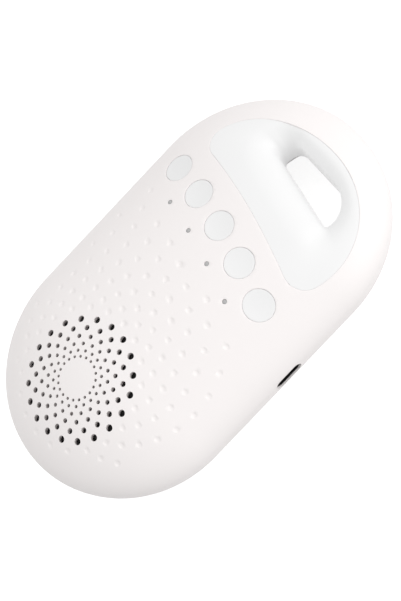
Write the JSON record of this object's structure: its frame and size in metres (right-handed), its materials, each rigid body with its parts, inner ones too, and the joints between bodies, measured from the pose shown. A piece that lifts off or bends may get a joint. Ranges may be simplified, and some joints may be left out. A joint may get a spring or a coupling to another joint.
{
  "type": "white noise sound machine",
  "caption": "Pebble-shaped portable white noise machine with a handle slot, a night-light lens around it, a bowed row of push buttons and a speaker behind radiating holes.",
  "frame": {"origin": "on the surface that the feet rest on, under the middle of the body", "axes": "+Z out of the front face, +Y along the body towards the handle slot, +X towards the charging port"},
  "size_m": [0.08, 0.1366, 0.0286],
  "materials": {
    "warm_white": "fine matte moulding",
    "opal_white": "satin, lets light through",
    "cool_white": "fine matte moulding",
    "smoke_lens": "polished ends",
    "led_body": "clear resin over a white cup",
    "switch_steel": "stamped",
    "board_green": "solder mask",
    "board_white": "white solder mask",
    "chip_black": "moulded",
    "port_steel": "nickel plated",
    "cell_foil": "satin foil pouch",
    "foam_grey": "open foam",
    "connector_ivory": "moulded",
    "lead_red": "soft sleeve",
    "basket_black": "satin black",
    "plate_zinc": "zinc plated",
    "magnet_ferrite": "sintered",
    "coil_copper": "wound copper",
    "cone_paper": "felted pulp",
    "surround_rubber": "soft roll",
    "spider_cloth": "pressed cloth",
    "foam_black": "foam",
    "cloth_black": "open weave",
    "screw_steel": "zinc plated",
    "foot_rubber": "soft grey"
  },
  "bodies": {
    "housing": {"front_housing": "warm_white", "rear_housing": "warm_white", "light_diffuser": "opal_white", "indicator_light_pipes": "smoke_lens", "indicator_leds": "led_body", "tact_switches": "switch_steel", "main_board": "board_green", "controller_chip": "chip_black", "amplifier_chip": "chip_black", "light_board": "board_white", "light_board_leds": "led_body", "usb_c_shell": "port_steel", "usb_c_tongue": "chip_black", "battery_cell": "cell_foil", "battery_pad": "foam_grey", "battery_connector": "connector_ivory", "battery_lead": "lead_red", "speaker_connector": "connector_ivory", "speaker_lead": "lead_red", "speaker_frame": "basket_black", "speaker_top_plate": "plate_zinc", "speaker_magnet": "magnet_ferrite", "speaker_yoke": "plate_zinc", "speaker_surround": "surround_rubber", "speaker_spider": "spider_cloth", "speaker_gasket": "foam_black", "grille_cloth": "cloth_black", "housing_screws": "screw_steel", "board_screws": "screw_steel", "speaker_screws": "screw_steel", "light_board_screws": "screw_steel", "rubber_feet": "foot_rubber"},
    "power": {"power_button": "cool_white", "power_plunger": "chip_black"},
    "volume_down": {"volume_down_button": "cool_white", "volume_down_plunger": "chip_black"},
    "sound": {"sound_button": "cool_white", "sound_plunger": "chip_black"},
    "volume_up": {"volume_up_button": "cool_white", "volume_up_plunger": "chip_black"},
    "light": {"light_button": "cool_white", "light_plunger": "chip_black"},
    "cone": {"speaker_cone": "cone_paper", "speaker_dust_cap": "cone_paper", "voice_coil": "coil_copper"}
  },
  "joints": [
    {"name": "power_press", "type": "slide", "parent": "housing", "child": "power", "axis": [0, 0, -1], "range_m": [0, 0.0005], "stiffness_N_per_m": 500},
    {"name": "volume_down_press", "type": "slide", "parent": "housing", "child": "volume_down", "axis": [0, 0, -1], "range_m": [0, 0.0005], "stiffness_N_per_m": 500},
    {"name": "sound_press", "type": "slide", "parent": "housing", "child": "sound", "axis": [0, 0, -1], "range_m": [0, 0.0005], "stiffness_N_per_m": 500},
    {"name": "volume_up_press", "type": "slide", "parent": "housing", "child": "volume_up", "axis": [0, 0, -1], "range_m": [0, 0.0005], "stiffness_N_per_m": 500},
    {"name": "light_press", "type": "slide", "parent": "housing", "child": "light", "axis": [0, 0, -1], "range_m": [0, 0.0005], "stiffness_N_per_m": 500},
    {"name": "cone_travel", "type": "slide", "parent": "housing", "child": "cone", "axis": [0, 0, 1], "range_m": [-0.0008, 0.0008], "stiffness_N_per_m": 700, "deforming": ["speaker_surround", "speaker_spider"]}
  ]
}
